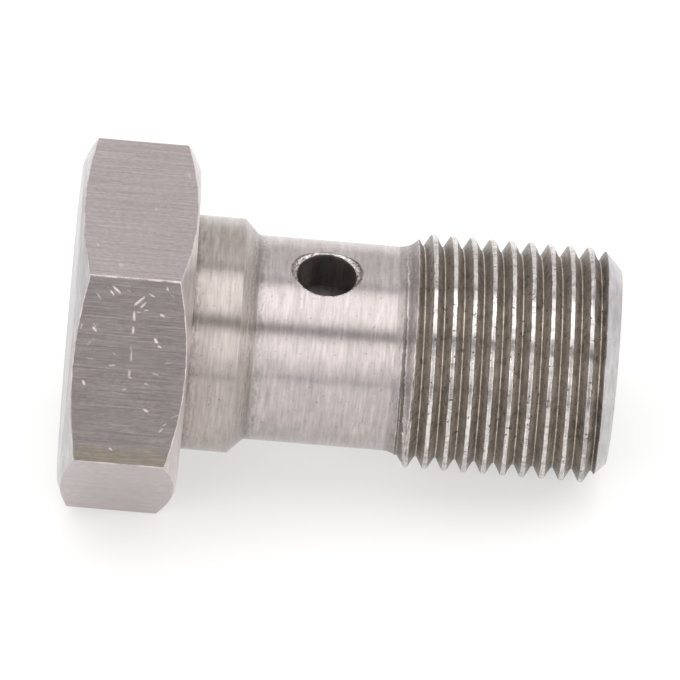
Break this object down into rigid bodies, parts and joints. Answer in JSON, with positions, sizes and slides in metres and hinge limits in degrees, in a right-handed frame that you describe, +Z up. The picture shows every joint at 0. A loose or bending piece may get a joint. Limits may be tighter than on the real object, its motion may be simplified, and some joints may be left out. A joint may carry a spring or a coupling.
{
  "type": "banjo bolt",
  "caption": "Hollow hexagon-head banjo bolt: centring collar, necked shank with a cross-drilled oil hole, fine thread and chamfered tip.",
  "frame": {"origin": "centre of the seat under the head, on the bolt's own axis", "axes": "the bolt lies as it comes to rest: +Z up, +X level from the head towards the tip (the bolt's axis dips 6.8 degrees below +X), +Y away from the viewer of the picture"},
  "size_m": [0.0292, 0.0196, 0.0175],
  "materials": {
    "stainless_steel": "turned and milled bare stainless steel, satin, fine tool marks"
  },
  "bodies": {
    "root": {"banjo_bolt": "stainless_steel"}
  },
  "joints": []
}
